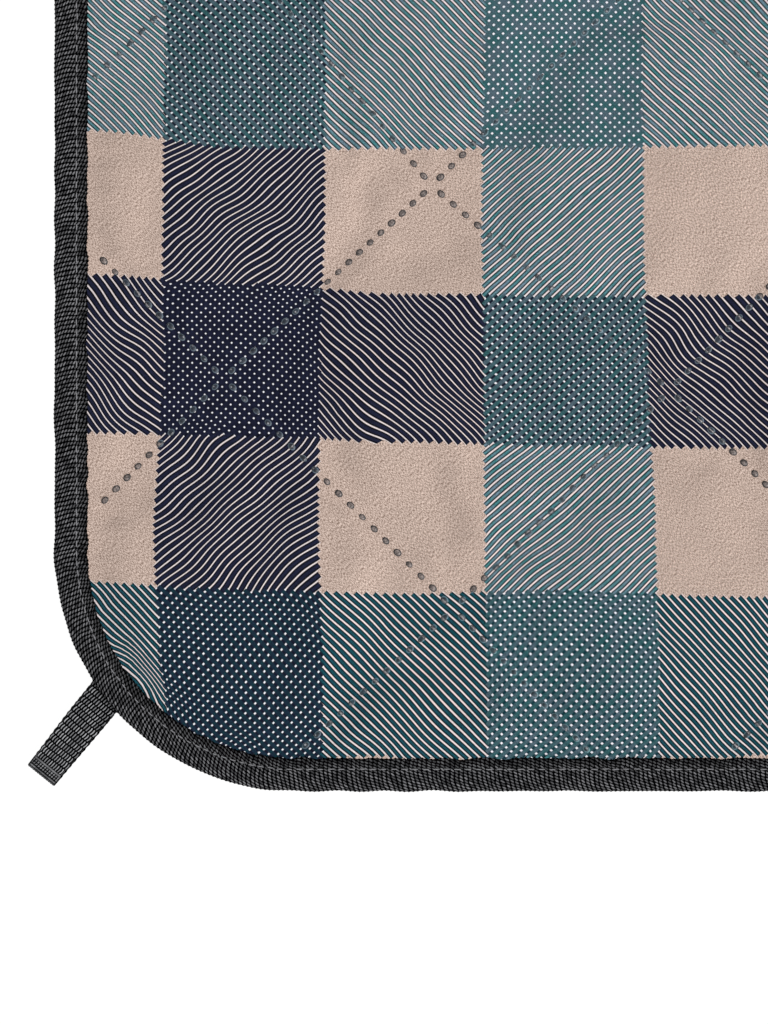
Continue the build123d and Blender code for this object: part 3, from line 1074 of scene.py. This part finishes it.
def edge_binding(material):
    """The ribbed tape folded over the edge."""
    ribs = round(4 * QUARTER / RIB)
    rings = ribs * RINGS_PER_RIB
    s = np.arange(rings) * 4 * QUARTER / rings
    place, inward = edge_place(s)
    section, outward, travel = tape_section()
    rib = RIB_HEIGHT * np.cos(2 * pi * np.arange(rings) / RINGS_PER_RIB)
    wander = edge_wander(s)
    roll = 0.16 * MM * wavy(s, 4 * QUARTER, 16, 7 * MM, 22 * MM)
    inner = smoothstep((section[:, 0] - 6 * MM) / (5 * MM))
    settle = np.where(section[:, 1] > 0, 1, -1) * inner * -0.5
    inset = section[None, :, 0] + outward[None, :, 0] * rib[:, None] + wander[:, None] * (1 - inner[None, :])
    inset += roll[:, None] * inner[None, :] * 1.5
    height = section[None, :, 1] + outward[None, :, 1] * rib[:, None] + roll[:, None] * settle[None, :]
    plan = place[:, None, :] + inward[:, None, :] * inset[..., None]
    points = np.concatenate([plan, (MID_HEIGHT + height)[..., None]], -1)
    normals = surface_normals(points, closed=True)
    weave = np.stack(np.broadcast_arrays(s[:, None], travel[None, :], np.abs(travel)[None, :]), -1)
    for name, start, end, panel in EDGE_PIECES:
        first = round(start / (4 * QUARTER) * rings)
        last = round(end / (4 * QUARTER) * rings)
        chosen = np.arange(first, last + 1) % rings
        count = len(chosen)
        index = np.arange(count * len(section)).reshape(count, len(section))
        local = weave[chosen].copy()
        local[..., 0] = (np.arange(first, last + 1) * 4 * QUARTER / rings)[:, None]
        tape = piece_from(
            "edge_binding_" + name, points[chosen].reshape(-1, 3), [quads_of(index)], [material],
            normals[chosen].reshape(-1, 3), {"weave": local.reshape(-1, 3)})
        go_with(tape, *side_range(name))
        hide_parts("edge_binding_foot", "edge_binding_head")


def seam(name, material, sign, node, top):
    """One side of the lockstitch, as separate stitches that dive into the tape at their ends."""
    count = round(4 * QUARTER / STITCH_PITCH)
    middle = (np.arange(count) + 0.5) * 4 * QUARTER / count
    shape = [(-0.5, 0.2, -0.32), (-0.38, 0.8, -0.1), (0.0, 1.0, 0.1), (0.38, 0.8, -0.1), (0.5, 0.2, -0.32)]
    around = 6
    length_jitter = random.uniform(0.92, 1.06, count)
    side_jitter = random.normal(0, 0.05 * MM, count)
    rings = []
    for part, girth, lift in shape:
        place, inward = edge_place(middle + part * STITCH * length_jitter)
        for k in range(around):
            angle = 2 * pi * k / around
            sideways = SEAM_INSET + side_jitter + girth * THREAD * 0.5 * cos(angle)
            level = top + sign * (lift * MM + girth * THREAD * 0.5 * sin(angle))
            plan = place + inward * sideways[:, None]
            rings.append(np.concatenate([plan, np.full((count, 1), level)], -1))
    points = np.stack(rings, 1)
    per = points.shape[1]
    faces = tube_quads(len(shape), around)
    if sign > 0:
        faces = faces[:, ::-1]
    grouped = points.reshape(count, len(shape), around, 3)
    lean = unit(grouped - grouped.mean(2, keepdims=True)).reshape(count, per, 3)
    for edge, start, end, _ in EDGE_PIECES:
        mine = (middle >= start) & (middle < end)
        number = mine.sum()
        own = points[mine].reshape(-1, 3)
        quads = (per * np.arange(number)[:, None, None] + faces[None]).reshape(-1, 4)
        along = np.repeat(np.array([part for part, _, _ in shape]) * STITCH, around)
        about = np.tile(np.arange(around) * THREAD / 2, len(shape))
        twist = np.stack([np.tile(along, number), np.tile(about, number), np.zeros(number * per)], -1)
        thread = piece_from(
            f"{name}_{edge}", own, [quads], [material], lean[mine].reshape(-1, 3), {"weave": twist})
        go_with(thread, *side_range(edge))
        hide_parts(node + "_foot", node + "_head")


# ---------------------------------------------------------------- corner loops
def loop_line():
    """Side view of the webbing's middle line: (outwards, height), from the lower tail round to the upper."""
    step = 0.3 * MM
    half = WEBBING / 2
    low = LOOP_BOTTOM + half
    bend = LOOP_INSIDE / 2 + half
    centre = LOOP_REACH - LOOP_INSIDE / 2 - WEBBING
    high = low + 2 * bend
    second = low + WEBBING
    out = np.arange(-LOOP_TAIL, centre, step)
    lower = np.stack([out, np.full(len(out), low)], -1)
    angles = np.linspace(-pi / 2, pi / 2, round(pi * bend / step))
    turn = np.stack([centre + bend * np.cos(angles), low + bend + bend * np.sin(angles)], -1)
    back = np.arange(centre, LOOP_ROOT + LOOP_RISE, -step)[1:]
    upper = np.stack([back, np.full(len(back), high)], -1)
    fall = np.arange(LOOP_ROOT + LOOP_RISE, -LOOP_TAIL, -step)
    drop = second + (high - second) * smoothstep((fall - LOOP_ROOT) / LOOP_RISE)
    return np.concatenate([lower, turn, upper, np.stack([fall, drop], -1)])


def corner_loop(name, side_x, side_y, material):
    """One loop of woven webbing, caught under the binding."""
    line = loop_line()
    tangent = unit(np.gradient(line, axis=0))
    up = np.stack([-tangent[:, 1], tangent[:, 0]], -1)
    travel = travel_along(line)
    across = np.linspace(-WEBBING_WIDTH / 2, WEBBING_WIDTH / 2, 4 * WEBBING_COLUMNS + 1)
    section = [(v, 1.0) for v in across] + [(WEBBING_WIDTH / 2 + 0.12 * MM, 0.0)]
    section += [(v, -1.0) for v in across[::-1]] + [(-WEBBING_WIDTH / 2 - 0.12 * MM, 0.0)]
    section = np.array(section)
    v = section[None, :, 0]
    face = section[None, :, 1]
    bands = travel[:, None] / DASH_BAND
    dash = np.clip(2.3 - 4.5 * np.abs(bands % 1 - 0.5), 0, 1)
    column = v / DASH_COLUMN + 0.5 * (np.floor(bands) % 2)
    rib = np.sin(pi * (column % 1))
    flat_part = np.abs(v) < WEBBING_WIDTH / 2 - 0.35 * MM
    height = smoothstep(dash) * rib * flat_part
    thickness = (WEBBING / 2 - 0.14 * MM + 0.14 * MM * height) * face
    out = line[:, None, 0] + up[:, None, 0] * thickness
    level = line[:, None, 1] + up[:, None, 1] * thickness
    from_end = np.abs(travel - travel[-1] / 2)
    narrower = LOOP_NARROWER * smoothstep((line[:, 0] - LOOP_ROOT) / (LOOP_REACH - LOOP_ROOT))
    nick = 0.1 * MM * np.cos(2 * pi * travel / DASH_BAND) * (from_end > 5 * MM)
    side = v * (1 - narrower - nick / WEBBING_WIDTH * 2)[:, None]
    root_x = -HALF_WIDTH + CORNER_RADIUS + CORNER_RADIUS * cos(LOOP_ROOT_ANGLE)
    root_y = -HALF_LENGTH + CORNER_RADIUS + CORNER_RADIUS * sin(LOOP_ROOT_ANGLE)
    x = root_x + out * cos(LOOP_DIRECTION) - side * sin(LOOP_DIRECTION)
    y = root_y + out * sin(LOOP_DIRECTION) + side * cos(LOOP_DIRECTION)
    points = np.stack([-side_x * x, -side_y * y, np.maximum(level, 0.02 * MM)], -1)
    wrapped = np.concatenate([points[:, -1:], points, points[:, :1]], 1)
    normals = unit(np.cross(np.gradient(points, axis=0), wrapped[:, 2:] - wrapped[:, :-2]))
    rings, around = side.shape
    quads = tube_quads(rings, around)
    ends = [np.arange(around)[None, ::-1], np.arange((rings - 1) * around, rings * around)[None, :]]
    if side_x * side_y < 0:
        quads = quads[:, ::-1]
        ends = [part[:, ::-1] for part in ends]
        normals = -normals
    on_face = (flat_part * np.abs(face)) * np.maximum(from_end, 0.01 * MM)[:, None]
    weave = np.stack(np.broadcast_arrays(travel[:, None], v, on_face), -1)
    loop = piece_from(
        "webbing_loop_" + name, points.reshape(-1, 3), [quads] + ends, [material], normals.reshape(-1, 3),
        {"weave": weave.reshape(-1, 3)})

    def place(out):
        x, y = root_x + out * cos(LOOP_DIRECTION), root_y + out * sin(LOOP_DIRECTION)
        return -side_x * x, -side_y * y, 0.0

    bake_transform(loop)
    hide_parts("corner_loop_" + name, "loop_tail_" + name)


# ---------------------------------------------------------------- build
def build():
    camera()
    studio()
    quilt = Quilt(swollen_diamonds())
    pulls = (pull_table(PULLED_UP, 0.8), pull_table(PULLED_RIGHT, 0.7))
    top = quilt.face(WELD_TOP, EDGE_TOP, TOP_SWELL, 1)
    back = quilt.face(WELD_BACK, EDGE_BACK, BACK_SWELL, -1)

    wadding_slabs(quilt, top, back, wadding_fibre())

    top_spots = weld_spots(quilt, top, 0.24 * MM, 1, TOP_SPOT_RINGS)
    panels = cover_panels(
        "top_cover", quilt, top, TOP_COLUMNS, TOP_ROWS, [printed_cover(), printed_weld()], top_spots, 1,
        ("top_cover_foot", "top_cover_head", "quilting_welds_foot", "quilting_welds_head"),
        pulls)

    back_spots = weld_spots(quilt, back, 0.22 * MM, -1, BACK_SPOT_RINGS)
    panels = cover_panels(
        "back_cover", quilt, back, BACK_COLUMNS, BACK_ROWS, [back_fabric(), plain_weld()], back_spots, -1,
        ("back_cover_foot", "back_cover_head"), pulls)

    edge_binding(binding_tape())
    thread = thread_material()
    seam("needle_thread", thread, 1, "seam_needle_thread", MID_HEIGHT + SEAM_LEVEL)
    seam("bobbin_thread", thread, -1, "seam_bobbin_thread", MID_HEIGHT - SEAM_LEVEL)

    woven = webbing()
    for foot_or_head, side_y in (("foot", -1), ("head", 1)):
        for left_or_right, side_x in (("left", -1), ("right", 1)):
            corner_loop(f"{foot_or_head}_{left_or_right}", side_x, side_y, woven)


build()
